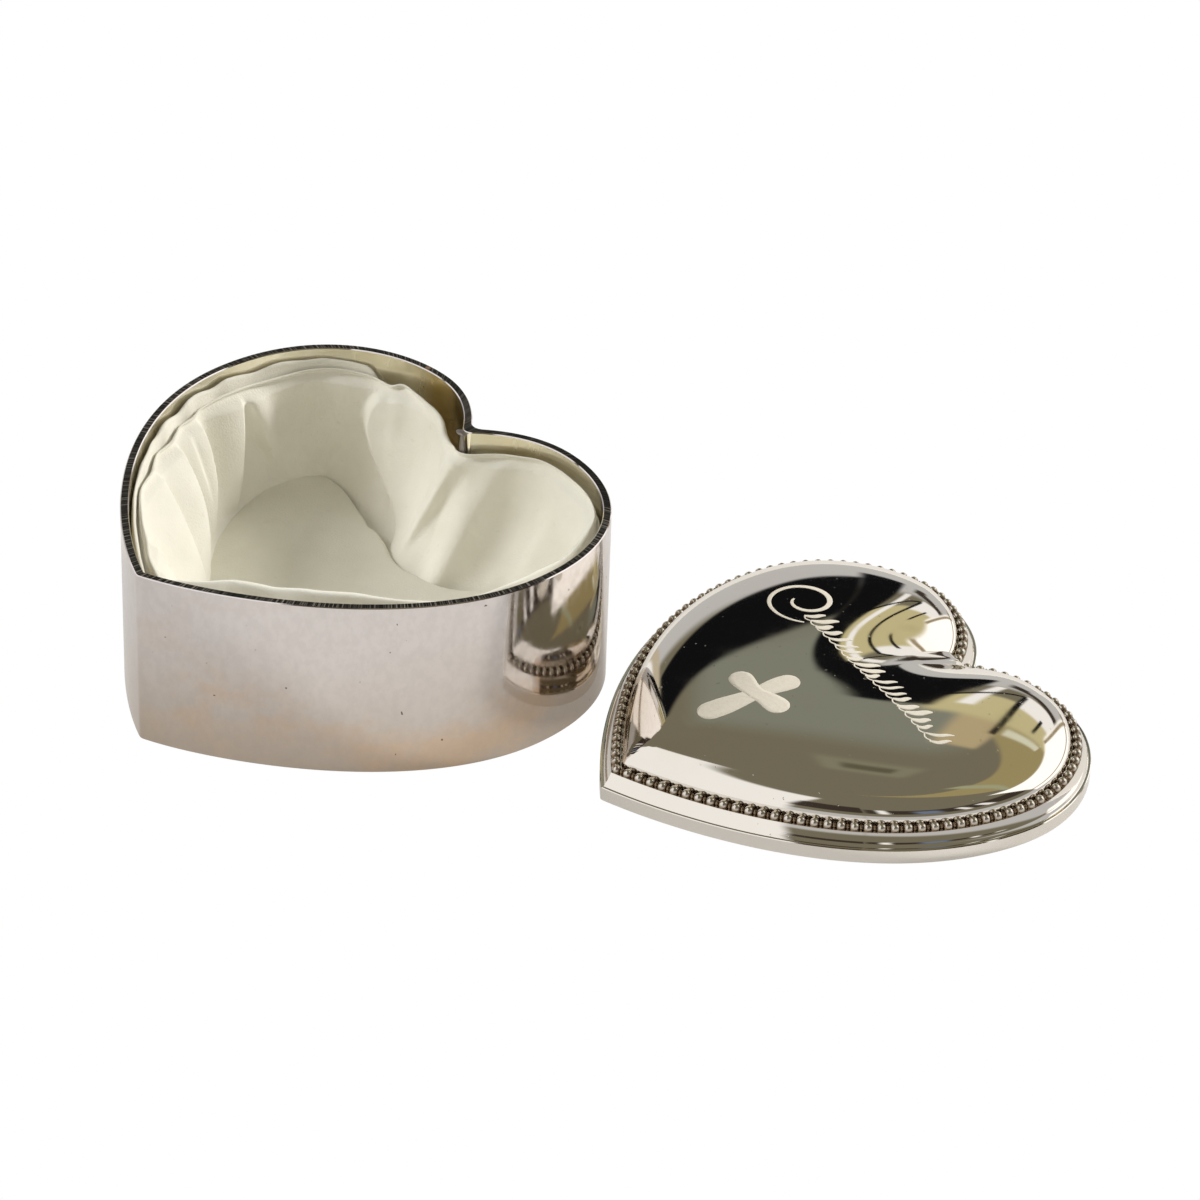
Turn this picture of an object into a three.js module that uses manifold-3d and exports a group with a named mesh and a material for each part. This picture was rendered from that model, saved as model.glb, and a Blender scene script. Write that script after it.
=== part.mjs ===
import * as THREE from 'three';
import { mergeVertices } from 'three/addons/utils/BufferGeometryUtils.js';
import Module from 'manifold-3d';

// A heart-shaped keepsake box of polished silver plate, lined with gathered cloth, with its loose lid
// lying face up beside it. Millimetres. X runs across the lobes, +Y from the tip to the cleft, +Z up,
// and the origin is the middle of the box's underside.

// The heart: the outline of the box's wall, outside
const boxWidth = 90;
const boxLength = 83.2;
const widestFromTip = 53.6;
const lobeSpacing = 35.2;
const cleftDepth = 8.4;
const tipAngle = 139;
const cleftAngle = 85;

// How full each stretch of the outline is: its curve's handles, as shares of the stretch
const tipFullness = 0.344;
const sideFullness = 0.501;
const shoulderFullness = 0.683;
const lobeFullness = 0.48;
const innerLobeFullness = 0.391;
const cleftFullness = 0.403;

// The box
const boxHeight = 34;
const wallThickness = 1.5;
const baseThickness = 1.5;
const tipRadius = 1;
const cleftNotchRadius = 2;
const cleftSolderRadius = 1.2;

// The cloth lining: a gathered wall that leans inwards, and a padded heart on the floor
const liningGap = 0.35;
const hemBelowRim = 2;
const hemThickness = 1.8;
const hemWave = 0.7;
const liningFoot = 8.4;
const liningFold = 2;
const foldPitch = 17;
const padGap = 0.6;
const padEdgeHeight = 3.2;
const padCrown = 3.4;
const padEdgeRadius = 3;

// The lid's outline, as it differs from the box's: it lies on the rim, nearly flush with the wall
const lidNarrower = 2.3;
const lidLonger = 0.8;
const lidWidestFurther = 3;
const lidLobesFurther = 4.1;
const lidTipSharper = 10.7;
const lidTipFullness = 0.372;
const lidSideFullness = 0.52;
const lidShoulderFullness = 0.636;
const lidLobeFullness = 0.383;
const lidInnerLobeFullness = 0.369;
const lidCleftFullness = 0.429;

// The lid: a flat skirt, a ledge, a moulding, a sloping band, a row of beads and a dome
const skirtHeight = 2.7;
const seatWidth = 2.4;
const lidTipRadius = 0.5;
const ledgeWidth = 0.6;
const mouldingHeight = 0.95;
const mouldingSlope = 0.5;
const bandHeight = 1.5;
const bandSlope = 0.65;
const beadDiameter = 1.7;
const beadPitch = 2.26;
const beadSink = 0.5;
const beadMargin = 0.05;
const domeRise = 8;
const domeFullness = 2.6;
const domeHeartShare = 1.2;
const domeCoreRadius = 27;
const domeWall = 1;

// The valley that runs into the dome from its cleft: its depth as a share of the rise there
const valleyDepth = 0.5;
const valleyHalfWidth = 9;
const valleyLength = 18;

// Where the lid lies
const lidDirection = 33.84;
const lidGap = 3.3;
const lidTurn = -12.44;

// How finely curves are stepped
const curveSteps = 120;
const cornerSteps = 6;
const boxSteps = 46;
const liningSteps = 52;
const padSteps = 34;
const lidSteps = 40;
const domeRows = 6;
const hollowRows = 4;
const cornerCrowding = 0.55;
const gapSteps = 150;
const placeRounds = 24;

const silver = new THREE.MeshStandardMaterial({ color: 0xd8d3c8, roughness: 0.08, metalness: 1 });
const cloth = new THREE.MeshStandardMaterial({ color: 0xe3dfcd, roughness: 0.95, metalness: 0 });

const radians = THREE.MathUtils.degToRad;

const boxHeart = {
  width: boxWidth,
  length: boxLength,
  widestFromTip,
  lobeSpacing,
  tipAngle,
  tipFullness,
  sideFullness,
  shoulderFullness,
  lobeFullness,
  innerLobeFullness,
  cleftFullness,
};

const lidHeart = {
  width: boxWidth - lidNarrower,
  length: boxLength + lidLonger,
  widestFromTip: widestFromTip + lidWidestFurther,
  lobeSpacing: lobeSpacing + lidLobesFurther,
  tipAngle: tipAngle - lidTipSharper,
  tipFullness: lidTipFullness,
  sideFullness: lidSideFullness,
  shoulderFullness: lidShoulderFullness,
  lobeFullness: lidLobeFullness,
  innerLobeFullness: lidInnerLobeFullness,
  cleftFullness: lidCleftFullness,
};

// The right half of a heart, from the tip to the cleft, as three curves joined end to end
function heartCurves(heart) {
  const widest = new THREE.Vector2(heart.width / 2, heart.widestFromTip - heart.length / 2);
  const tip = new THREE.Vector2(0, -heart.length / 2);
  const lobe = new THREE.Vector2(heart.lobeSpacing / 2, heart.length / 2);
  const cleft = new THREE.Vector2(0, heart.length / 2 - cleftDepth);
  const tipHalf = radians(heart.tipAngle / 2);
  const cleftHalf = radians(cleftAngle / 2);
  const leaveTip = new THREE.Vector2(Math.sin(tipHalf), Math.cos(tipHalf));
  const leaveCleft = new THREE.Vector2(Math.sin(cleftHalf), Math.cos(cleftHalf));
  const side = new THREE.CubicBezierCurve(
    tip,
    tip.clone().addScaledVector(leaveTip, heart.tipFullness * widest.x),
    new THREE.Vector2(widest.x, widest.y - heart.sideFullness * (widest.y - tip.y)),
    widest,
  );
  const shoulder = new THREE.CubicBezierCurve(
    widest,
    new THREE.Vector2(widest.x, widest.y + heart.shoulderFullness * (lobe.y - widest.y)),
    new THREE.Vector2(lobe.x + heart.lobeFullness * (widest.x - lobe.x), lobe.y),
    lobe,
  );
  const innerLobe = new THREE.CubicBezierCurve(
    lobe,
    new THREE.Vector2(lobe.x * (1 - heart.innerLobeFullness), lobe.y),
    cleft.clone().addScaledVector(leaveCleft, heart.cleftFullness * lobe.x),
    cleft,
  );
  return [side, shoulder, innerLobe];
}

// Points along the half outline moved outwards by an offset, each with its outward direction
function offsetSamples(heart, offset) {
  const samples = [];
  heartCurves(heart).forEach((curve, index) => {
    for (let step = index === 0 ? 0 : 1; step <= curveSteps; step += 1) {
      const share = step / curveSteps;
      const tangent = curve.getTangent(share);
      const outward = new THREE.Vector2(tangent.y, -tangent.x);
      samples.push({ point: curve.getPoint(share).addScaledVector(outward, offset), outward });
    }
  });
  return samples;
}

// Closes one end of the samples on the mirror line, with a round of the given radius or a sharp corner.
// At the tip the round's centre is inside the outline, at the cleft it is outside.
function closeEnd(samples, radius, side) {
  const kept = samples.slice();
  const reach = (sample) => sample.point.x - side * radius * sample.outward.x;
  while (kept.length > 2 && reach(kept[0]) < 0) {
    kept.shift();
  }
  const first = kept[0];
  if (radius > 0) {
    const centreY = first.point.y - side * radius * first.outward.y;
    const startAngle = Math.atan2(side * first.outward.y, side * first.outward.x);
    const arc = [];
    for (let step = cornerSteps; step >= 1; step -= 1) {
      const angle = startAngle + ((-Math.PI / 2 - startAngle) * step) / cornerSteps;
      arc.push(new THREE.Vector2(radius * Math.cos(angle), centreY + radius * Math.sin(angle)));
    }
    arc[0].x = 0;
    return [...arc, ...kept.map((sample) => sample.point)];
  }
  const slope = new THREE.Vector2(-first.outward.y, first.outward.x);
  const corner = first.point.clone().addScaledVector(slope, -first.point.x / slope.x);
  corner.x = 0;
  return [corner, ...kept.map((sample) => sample.point)];
}

// The half outline at an offset, from the tip to the cleft, with its two corners closed
function halfOutline(heart, offset, tipRound, cleftRound) {
  const samples = offsetSamples(heart, offset);
  const middle = Math.floor(samples.length / 2);
  const fromTip = closeEnd(samples.slice(0, middle), tipRound, 1);
  const fromCleft = closeEnd(samples.slice(middle).reverse(), cleftRound, -1);
  return [...fromTip, ...fromCleft.reverse()];
}

// Points spaced along an open line of points, closer together near its two ends by the crowding share
function respace(line, count, crowding) {
  const lengths = [0];
  for (let index = 1; index < line.length; index += 1) {
    lengths.push(lengths[index - 1] + line[index].distanceTo(line[index - 1]));
  }
  const total = lengths[lengths.length - 1];
  const points = [];
  let segment = 1;
  for (let index = 0; index < count; index += 1) {
    const even = index / (count - 1);
    const share = even - (crowding * Math.sin(2 * Math.PI * even)) / (2 * Math.PI);
    const wanted = share * total;
    while (segment < line.length - 1 && lengths[segment] < wanted) {
      segment += 1;
    }
    const span = lengths[segment] - lengths[segment - 1];
    const within = span > 0 ? (wanted - lengths[segment - 1]) / span : 0;
    points.push(line[segment - 1].clone().lerp(line[segment], within));
  }
  return points;
}

// A whole heart as a closed ring of points, anticlockwise from the tip, at an offset from its outline
function heartRing(heart, offset, steps, tipRound = 0, cleftRound = 0) {
  const half = respace(halfOutline(heart, offset, tipRound, cleftRound), steps, cornerCrowding);
  const mirrored = half.slice(1, -1).reverse().map((point) => new THREE.Vector2(-point.x, point.y));
  return [...half, ...mirrored];
}

// Lifts a flat ring to a height, which may be a number or a function of the point's place in the ring
function lift(ring, height) {
  return ring.map((point, index) => {
    const z = typeof height === 'function' ? height(index) : height;
    return new THREE.Vector3(point.x, point.y, z);
  });
}

// A closed body through rings of equal count, in order from its lowest middle outwards, up and back in.
// It ends in a middle point at each end, or joins its last ring to its first when it has none.
function bodyThroughRings(rings, bottomMiddle, topMiddle) {
  const count = rings[0].length;
  const vertices = rings.flat();
  const triangles = [];
  const at = (row, index) => row * count + (index % count);
  const bands = bottomMiddle ? rings.length - 1 : rings.length;
  for (let row = 0; row < bands; row += 1) {
    const next = (row + 1) % rings.length;
    for (let index = 0; index < count; index += 1) {
      triangles.push(at(row, index), at(row, index + 1), at(next, index + 1));
      triangles.push(at(row, index), at(next, index + 1), at(next, index));
    }
  }
  if (bottomMiddle) {
    const last = rings.length - 1;
    vertices.push(bottomMiddle, topMiddle);
    for (let index = 0; index < count; index += 1) {
      triangles.push(vertices.length - 2, at(0, index + 1), at(0, index));
      triangles.push(at(last, index), at(last, index + 1), vertices.length - 1);
    }
  }
  const geometry = new THREE.BufferGeometry();
  geometry.setAttribute('position', new THREE.Float32BufferAttribute(vertices.flatMap((v) => v.toArray()), 3));
  geometry.setIndex(triangles);
  return geometry;
}

function named(name, geometry, material) {
  const mesh = new THREE.Mesh(geometry, material);
  mesh.name = name;
  return mesh;
}

// The box: wall and base soldered into one shell, open at the top
function makeBoxShell() {
  const outside = heartRing(boxHeart, 0, boxSteps, tipRadius, cleftNotchRadius);
  const inside = heartRing(boxHeart, -wallThickness, boxSteps, 0, cleftSolderRadius);
  const rings = [
    lift(outside, 0),
    lift(outside, boxHeight),
    lift(inside, boxHeight),
    lift(inside, baseThickness),
  ];
  return bodyThroughRings(rings, new THREE.Vector3(0, 0, 0), new THREE.Vector3(0, 0, baseThickness));
}

const liningBottom = baseThickness + liningGap;
const hemTop = boxHeight - hemBelowRim;
const liningBack = wallThickness + liningGap;

// The lining's wall: its back against the metal, its front leaning in and gathered into upright folds
function makeLiningWall() {
  const perimeter = respace(halfOutline(boxHeart, -liningBack, 0, 0), liningSteps, 0)
    .reduce((sum, point, index, all) => sum + (index ? point.distanceTo(all[index - 1]) : 0), 0) * 2;
  const folds = Math.round(perimeter / foldPitch);
  const count = 2 * liningSteps - 2;
  const fold = (index) => Math.sin((2 * Math.PI * folds * index) / count);
  const folded = (inset, depth) => {
    const ring = heartRing(boxHeart, -inset, liningSteps);
    const deeper = heartRing(boxHeart, -inset - depth, liningSteps);
    return ring.map((point, index) => point.clone().lerp(deeper[index], 0.5 + 0.5 * fold(index)));
  };
  const hemHeight = (index) => hemTop - hemWave * (0.5 - 0.5 * fold(index));
  const frontAtHem = liningBack + hemThickness;
  const middleInset = (frontAtHem + liningFoot) / 2;
  const middleHeight = (liningBottom + hemTop) / 2;
  const rings = [
    lift(heartRing(boxHeart, -liningBack, liningSteps), liningBottom),
    lift(heartRing(boxHeart, -liningBack, liningSteps), hemTop - hemWave - hemThickness / 2),
    lift(folded(liningBack + hemThickness / 3, 0), hemHeight),
    lift(folded(frontAtHem, liningFold / 2), (index) => hemHeight(index) - hemThickness / 2),
    lift(folded(middleInset - liningFold / 2, liningFold), middleHeight),
    lift(heartRing(boxHeart, -liningFoot, liningSteps), liningBottom),
  ];
  return bodyThroughRings(rings);
}

// The floor's pad: a card cut to the heart inside the lining's foot, padded to a low crown
function makeLiningPad() {
  const edge = liningFoot + padGap;
  const shoulder = liningBottom + padEdgeHeight;
  const rings = [
    lift(heartRing(boxHeart, -edge, padSteps), liningBottom),
    lift(heartRing(boxHeart, -edge, padSteps), shoulder - padEdgeRadius / 2),
    lift(heartRing(boxHeart, -edge - padEdgeRadius / 2, padSteps), shoulder),
    lift(heartRing(boxHeart, -edge - padEdgeRadius * 2, padSteps), shoulder + padCrown / 2),
  ];
  const top = shoulder + padCrown;
  return bodyThroughRings(rings, new THREE.Vector3(0, 0, liningBottom), new THREE.Vector3(0, 0, top));
}

const bandFoot = -ledgeWidth - mouldingSlope;
const shelfOuter = bandFoot - bandSlope;
const shelfHeight = skirtHeight + mouldingHeight + bandHeight;
const beadLine = shelfOuter - beadMargin - beadDiameter / 2;
const domeFoot = beadLine - beadDiameter / 2 - beadMargin;

function lidRing(offset, steps = lidSteps) {
  return heartRing(lidHeart, offset, steps, Math.max(0, lidTipRadius + offset), 0);
}

// The share of the dome's height that the valley leaves at a point
function valleyShare(point) {
  const cleftY = lidHeart.length / 2 - cleftDepth;
  const across = (point.x / valleyHalfWidth) ** 2;
  const along = ((point.y - cleftY) / valleyLength) ** 2;
  return 1 - valleyDepth * Math.exp(-across - along);
}

// The dome's middle, above its foot
function domeMiddle(footHeight) {
  return new THREE.Vector3(0, 0, footHeight + domeRise * valleyShare(new THREE.Vector2()));
}

// Rings that shrink from a foot ring to a middle point while they rise, steeply first and then flat.
// They turn from the heart's outline to a circle on the way, so that the cleft runs out as a soft valley.
function domeRings(foot, footHeight, rows) {
  const rings = [];
  for (let row = 0; row < rows; row += 1) {
    const angle = (Math.PI / 2) * (row / rows);
    const reach = Math.cos(angle) ** (2 / domeFullness);
    const height = domeRise * Math.sin(angle) ** (2 / domeFullness);
    const heartShare = reach ** domeHeartShare;
    const ring = foot.map((point) => {
      const round = point.clone().normalize().multiplyScalar(domeCoreRadius);
      return round.lerp(point, heartShare).multiplyScalar(reach);
    });
    rings.push(lift(ring, (index) => footHeight + height * valleyShare(ring[index])));
  }
  return rings;
}

function makeLidBody() {
  const hollowFoot = lidRing(Math.min(-seatWidth, domeFoot - domeWall));
  const hollowFootHeight = shelfHeight - domeWall;
  const hollow = domeRings(hollowFoot, hollowFootHeight, hollowRows);
  const rings = [
    ...hollow.reverse(),
    lift(lidRing(-seatWidth), hollowFootHeight - domeWall),
    lift(lidRing(-seatWidth), 0),
    lift(lidRing(0), 0),
    lift(lidRing(0), skirtHeight),
    lift(lidRing(-ledgeWidth), skirtHeight),
    lift(lidRing(bandFoot), skirtHeight + mouldingHeight),
    lift(lidRing(shelfOuter), shelfHeight),
    ...domeRings(lidRing(domeFoot), shelfHeight, domeRows),
  ];
  return bodyThroughRings(rings, domeMiddle(hollowFootHeight), domeMiddle(shelfHeight));
}

// The middles of the beads, evenly spaced round the bead line, one of them at the tip
function beadCentres() {
  const half = halfOutline(lidHeart, beadLine, 0, 0);
  const halfLength = half.reduce((sum, point, i) => sum + (i ? point.distanceTo(half[i - 1]) : 0), 0);
  const halfCount = Math.round(halfLength / beadPitch) + 1;
  const right = respace(half, halfCount, 0);
  const left = right.slice(1, -1).map((point) => new THREE.Vector2(-point.x, point.y));
  return [...right, ...left];
}

const wasm = await Module();
wasm.setup();

function toSolid(geometry) {
  const bare = geometry.clone();
  bare.deleteAttribute('normal');
  bare.deleteAttribute('uv');
  const merged = mergeVertices(bare);
  return new wasm.Manifold(new wasm.Mesh({
    numProp: 3,
    vertProperties: new Float32Array(merged.attributes.position.array),
    triVerts: new Uint32Array(merged.index.array),
  }));
}

function toGeometry(solid) {
  const mesh = solid.getMesh();
  const geometry = new THREE.BufferGeometry();
  geometry.setAttribute('position', new THREE.Float32BufferAttribute(mesh.vertProperties, 3));
  geometry.setIndex(Array.from(mesh.triVerts));
  return geometry;
}

// The lid is one casting: its row of beads is fused to the shelf round the dome
function makeLid() {
  const beadHeight = shelfHeight + beadDiameter / 2 - beadSink;
  const bead = new THREE.IcosahedronGeometry(beadDiameter / 2, 0);
  let solid = toSolid(makeLidBody());
  beadCentres().forEach((centre) => {
    const placed = bead.clone().translate(centre.x, centre.y, beadHeight);
    solid = solid.add(toSolid(placed));
  });
  return toGeometry(solid);
}

// The nearest distance between the points of two rings
function nearestGap(ringA, ringB) {
  return Math.min(...ringA.map((a) => Math.min(...ringB.map((b) => a.distanceTo(b)))));
}

// The lid lies beside the box, out along one line from the box's middle to where the two are a gap apart
function lidPlace() {
  const away = new THREE.Vector2(Math.cos(radians(lidDirection)), Math.sin(radians(lidDirection)));
  const origin = new THREE.Vector2();
  const boxRing = heartRing(boxHeart, 0, gapSteps);
  const turnedLid = lidRing(0, gapSteps).map((point) => point.rotateAround(origin, radians(lidTurn)));
  let near = boxWidth / 2;
  let far = near + boxWidth + boxLength;
  for (let round = 0; round < placeRounds; round += 1) {
    const middle = (near + far) / 2;
    const movedLid = turnedLid.map((point) => point.clone().addScaledVector(away, middle));
    if (nearestGap(boxRing, movedLid) > lidGap) {
      far = middle;
    } else {
      near = middle;
    }
  }
  return away.multiplyScalar(far);
}

const keepsakeBox = new THREE.Group();

const box = new THREE.Group();
box.add(named('box_shell', makeBoxShell(), silver));
box.add(named('lining_wall', makeLiningWall(), cloth));
box.add(named('lining_pad', makeLiningPad(), cloth));
keepsakeBox.add(box);

const lid = named('lid', makeLid(), silver);
const place = lidPlace();
lid.position.set(place.x, place.y, 0);
lid.rotation.z = radians(lidTurn);
keepsakeBox.add(lid);

export default keepsakeBox;
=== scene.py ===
import math

import bpy
import numpy as np
from mathutils import Matrix, Vector, noise
from mathutils.bvhtree import BVHTree


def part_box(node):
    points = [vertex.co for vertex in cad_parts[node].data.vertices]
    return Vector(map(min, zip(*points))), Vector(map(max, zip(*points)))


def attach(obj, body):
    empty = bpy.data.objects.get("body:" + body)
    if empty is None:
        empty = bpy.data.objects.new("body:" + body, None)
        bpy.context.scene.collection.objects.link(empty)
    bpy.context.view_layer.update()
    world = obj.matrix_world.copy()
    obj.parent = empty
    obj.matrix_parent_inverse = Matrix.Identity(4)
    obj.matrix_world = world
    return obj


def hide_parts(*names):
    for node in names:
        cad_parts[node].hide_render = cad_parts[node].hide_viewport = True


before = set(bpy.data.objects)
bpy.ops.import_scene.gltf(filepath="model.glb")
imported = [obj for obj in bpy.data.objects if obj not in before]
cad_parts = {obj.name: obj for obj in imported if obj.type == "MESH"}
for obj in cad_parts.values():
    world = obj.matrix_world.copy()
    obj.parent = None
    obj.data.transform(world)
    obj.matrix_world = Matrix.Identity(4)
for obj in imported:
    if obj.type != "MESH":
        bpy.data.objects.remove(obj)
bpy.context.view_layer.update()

# Sizes are millimetres in this script, and meshes are made in metres.
MM = 0.001

# The hearts' outlines, as in the CAD part: the outside of the box's wall, and the lid's skirt
BOX_HEART = {
    "width": 90.0,
    "length": 83.2,
    "widest": 53.6,
    "spacing": 35.2,
    "cleft_depth": 8.4,
    "tip_angle": 139.0,
    "cleft_angle": 85.0,
    "tip": 0.344,
    "side": 0.501,
    "shoulder": 0.683,
    "lobe": 0.48,
    "inner_lobe": 0.391,
    "cleft": 0.403,
}
LID_HEART = {
    "width": BOX_HEART["width"] - 2.3,
    "length": BOX_HEART["length"] + 0.8,
    "widest": BOX_HEART["widest"] + 3.0,
    "spacing": BOX_HEART["spacing"] + 4.1,
    "cleft_depth": BOX_HEART["cleft_depth"],
    "tip_angle": BOX_HEART["tip_angle"] - 10.7,
    "cleft_angle": BOX_HEART["cleft_angle"],
    "tip": 0.372,
    "side": 0.52,
    "shoulder": 0.636,
    "lobe": 0.383,
    "inner_lobe": 0.369,
    "cleft": 0.429,
}
CURVE_STEPS = 300

# The box
BOX_HEIGHT = 34.0
WALL = 1.5
BASE = 1.5
TIP_RADIUS = 1.0
NOTCH_RADIUS = 2.0
SOLDER_RADIUS = 1.2
BOX_STEPS = 260

# The lid: its edge from the skirt to the dome
SKIRT_HEIGHT = 2.7
SEAT_WIDTH = 2.4
LID_TIP_RADIUS = 0.5
LEDGE_WIDTH = 0.6
MOULDING_HEIGHT = 0.95
MOULDING_SLOPE = 0.5
BAND_HEIGHT = 1.5
BAND_SLOPE = 0.65
BEAD_DIAMETER = 1.7
BEAD_PITCH = 2.26
BEAD_SINK = 0.5
BEAD_MARGIN = 0.05
DOME_RISE = 8.0
DOME_FULLNESS = 2.6
DOME_HEART_SHARE = 1.2
DOME_CORE_RADIUS = 27.0
DOME_WALL = 1.0
FOOT_TIP_ROUND = 2.0
TIP_ROUNDING = 26.0
CLEFT_ROUNDING = 14.0
VALLEY_DEPTH = 0.5
VALLEY_HALF_WIDTH = 9.0
VALLEY_LENGTH = 18.0
LID_TURN = math.radians(-12.44)
LID_STEPS = 260
DOME_ROWS = 70
HOLLOW_ROWS = 20

BAND_FOOT = -LEDGE_WIDTH - MOULDING_SLOPE
SHELF_OUTER = BAND_FOOT - BAND_SLOPE
SHELF_HEIGHT = SKIRT_HEIGHT + MOULDING_HEIGHT + BAND_HEIGHT
BEAD_LINE = SHELF_OUTER - BEAD_MARGIN - BEAD_DIAMETER / 2
DOME_FOOT = BEAD_LINE - BEAD_DIAMETER / 2 - BEAD_MARGIN

# The photograph's view
VIEW_AZIMUTH = math.radians(47.0)
VIEW_ELEVATION = math.radians(33.84)
VIEW_DISTANCE = 907.6
VIEW_TARGET = (18.36, 49.02, 0.0)
VIEW_ROLL = math.radians(2.11)
VIEW_LENS = 150.0


# Meshes

def new_mesh(name, vertices, faces, materials=(), face_materials=None, smooth_angle=None):
    """A mesh object from millimetre vertices. Faces are tuples of vertex numbers."""
    mesh = bpy.data.meshes.new(name)
    scaled = np.asarray(vertices, float) * MM
    mesh.from_pydata(scaled.tolist(), [], [tuple(map(int, face)) for face in faces])
    for material in materials:
        mesh.materials.append(material)
    if face_materials is not None:
        mesh.polygons.foreach_set("material_index", np.asarray(face_materials, np.int32))
    mesh.polygons.foreach_set("use_smooth", np.ones(len(mesh.polygons), bool))
    if smooth_angle is not None:
        mesh.set_sharp_from_angle(angle=math.radians(smooth_angle))
    mesh.validate()
    mesh.update()
    made = bpy.data.objects.new(name, mesh)
    bpy.context.scene.collection.objects.link(made)
    return made


def grid_faces(rows, columns, closed_columns=True, closed_rows=False):
    """Quads of a grid of points, numbered row by row."""
    faces = []
    row_count = rows if closed_rows else rows - 1
    column_count = columns if closed_columns else columns - 1
    for row in range(row_count):
        here = row * columns
        above = ((row + 1) % rows) * columns
        for column in range(column_count):
            after = (column + 1) % columns
            faces.append((here + column, here + after, above + after, above + column))
    return faces


def add_values(made, name, values):
    """A number for each vertex, for the materials to read."""
    attribute = made.data.attributes.new(name, "FLOAT", "POINT")
    attribute.data.foreach_set("value", np.asarray(values, np.float32))


# The heart's outline and its offsets

def bezier(start, leave, arrive, end):
    share = np.linspace(0, 1, CURVE_STEPS)[:, None]
    rest = 1 - share
    points = (rest ** 3 * start + 3 * rest ** 2 * share * leave
              + 3 * rest * share ** 2 * arrive + share ** 3 * end)
    slopes = (rest ** 2 * (leave - start) + 2 * rest * share * (arrive - leave)
              + share ** 2 * (end - arrive))
    return points, slopes / np.linalg.norm(slopes, axis=1)[:, None]


def half_heart(heart):
    """The right half of an outline, from the tip to the cleft, with its outward directions."""
    length = heart["length"]
    widest = np.array([heart["width"] / 2, heart["widest"] - length / 2])
    tip = np.array([0.0, -length / 2])
    lobe = np.array([heart["spacing"] / 2, length / 2])
    cleft = np.array([0.0, length / 2 - heart["cleft_depth"]])
    tip_half = math.radians(heart["tip_angle"] / 2)
    cleft_half = math.radians(heart["cleft_angle"] / 2)
    leave_tip = np.array([math.sin(tip_half), math.cos(tip_half)])
    leave_cleft = np.array([math.sin(cleft_half), math.cos(cleft_half)])
    side = bezier(
        tip,
        tip + leave_tip * heart["tip"] * widest[0],
        np.array([widest[0], widest[1] - heart["side"] * (widest[1] - tip[1])]),
        widest,
    )
    shoulder = bezier(
        widest,
        np.array([widest[0], widest[1] + heart["shoulder"] * (lobe[1] - widest[1])]),
        np.array([lobe[0] + heart["lobe"] * (widest[0] - lobe[0]), lobe[1]]),
        lobe,
    )
    inner_lobe = bezier(
        lobe,
        np.array([lobe[0] * (1 - heart["inner_lobe"]), lobe[1]]),
        cleft + leave_cleft * heart["cleft"] * lobe[0],
        cleft,
    )
    points = np.vstack([side[0], shoulder[0][1:], inner_lobe[0][1:]])
    slopes = np.vstack([side[1], shoulder[1][1:], inner_lobe[1][1:]])
    return points, np.stack([slopes[:, 1], -slopes[:, 0]], axis=1)


BOX_HALF = half_heart(BOX_HEART)
LID_HALF = half_heart(LID_HEART)
ARC_STEPS = 14


def close_end(points, outward, radius, side):
    """Rounds one end of a half outline on the mirror line. The tip is side 1, the cleft side -1."""
    reach = points[:, 0] - side * radius * outward[:, 0]
    first = int(np.argmax(reach >= 0))
    point, direction = points[first], outward[first]
    kept = points[first:]
    if radius > 0:
        centre = point[1] - side * radius * direction[1]
        start = math.atan2(side * direction[1], side * direction[0])
        angles = start + (-math.pi / 2 - start) * np.arange(ARC_STEPS, 0, -1) / ARC_STEPS
        arc = np.stack([radius * np.cos(angles), centre + radius * np.sin(angles)], axis=1)
        arc[0, 0] = 0
        return np.vstack([arc, kept])
    slope = np.array([-direction[1], direction[0]])
    corner = point + slope * (-point[0] / slope[0])
    corner[0] = 0
    return np.vstack([corner, kept])


def half_outline(half, offset, tip_round, cleft_round):
    places, outward = half
    points = places + outward * offset
    middle = len(points) // 2
    lower = close_end(points[:middle], outward[:middle], tip_round, 1)
    upper = close_end(points[middle:][::-1], outward[middle:][::-1], cleft_round, -1)
    return np.vstack([lower, upper[::-1]])


def line_lengths(line):
    """The distance along a line up to each of its points."""
    steps = np.linalg.norm(np.diff(line, axis=0), axis=1)
    return np.r_[0, np.cumsum(steps)]


def points_along(line, distances):
    lengths = line_lengths(line)
    return np.stack([np.interp(distances, lengths, line[:, axis]) for axis in range(2)], axis=1)


def respace(line, count, crowding=0.0):
    """Evenly spaced points along a line, or crowded towards its ends."""
    even = np.linspace(0, 1, count)
    shares = even - crowding * np.sin(2 * np.pi * even) / (2 * np.pi)
    return points_along(line, shares * line_lengths(line)[-1])


def heart_ring(half, offset, steps, tip_round=0.0, cleft_round=0.0, crowding=0.4):
    """A whole outline, anticlockwise from the tip. It has 2 * steps - 2 points."""
    right = respace(half_outline(half, offset, tip_round, cleft_round), steps, crowding)
    left = right[1:-1][::-1] * [-1, 1]
    return np.vstack([right, left])


def lift(ring, height):
    heights = np.broadcast_to(np.asarray(height, float), (len(ring),))
    return np.column_stack([ring, heights])


def loft(rings, first_middle=None, last_middle=None, closed=False):
    """A skin through rings of equal count. A fan closes each end that is given a middle point."""
    count = len(rings[0])
    vertices = np.vstack(rings)
    faces = grid_faces(len(rings), count, closed_rows=closed)
    if first_middle is not None:
        vertices = np.vstack([vertices, first_middle])
        middle = len(vertices) - 1
        faces += [(middle, (column + 1) % count, column) for column in range(count)]
    if last_middle is not None:
        vertices = np.vstack([vertices, last_middle])
        middle = len(vertices) - 1
        start = (len(rings) - 1) * count
        faces += [(start + column, start + (column + 1) % count, middle) for column in range(count)]
    return vertices, faces


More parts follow.
